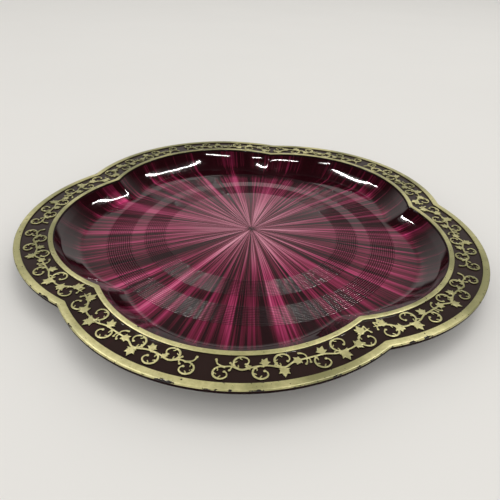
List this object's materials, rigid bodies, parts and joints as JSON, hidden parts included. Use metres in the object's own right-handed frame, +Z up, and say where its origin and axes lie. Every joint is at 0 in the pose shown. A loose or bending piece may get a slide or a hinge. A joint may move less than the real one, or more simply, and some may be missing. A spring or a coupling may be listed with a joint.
{
  "type": "lobed serving tray",
  "caption": "Shallow lobed serving tray in glossy streaked plastic, with a flat rim that carries gilded bands and raised vine scrolls.",
  "frame": {"origin": "on the tray's upright axis, in the plane that the tray rests on", "axes": "+Z up out of the dish; one lobe points along -Y, and X runs to the right"},
  "size_m": [0.339, 0.3343, 0.018],
  "materials": {
    "marbled_plastic": "glossy, radial magenta streaks in near-black",
    "gilding": "pale worn gold foil on moulded plastic"
  },
  "bodies": {
    "root": {"tray_body": "marbled_plastic", "outer_gilt_band": "gilding", "inner_gilt_band": "gilding", "scroll_sprigs_left": "gilding", "scroll_sprigs_right": "gilding"}
  },
  "joints": []
}
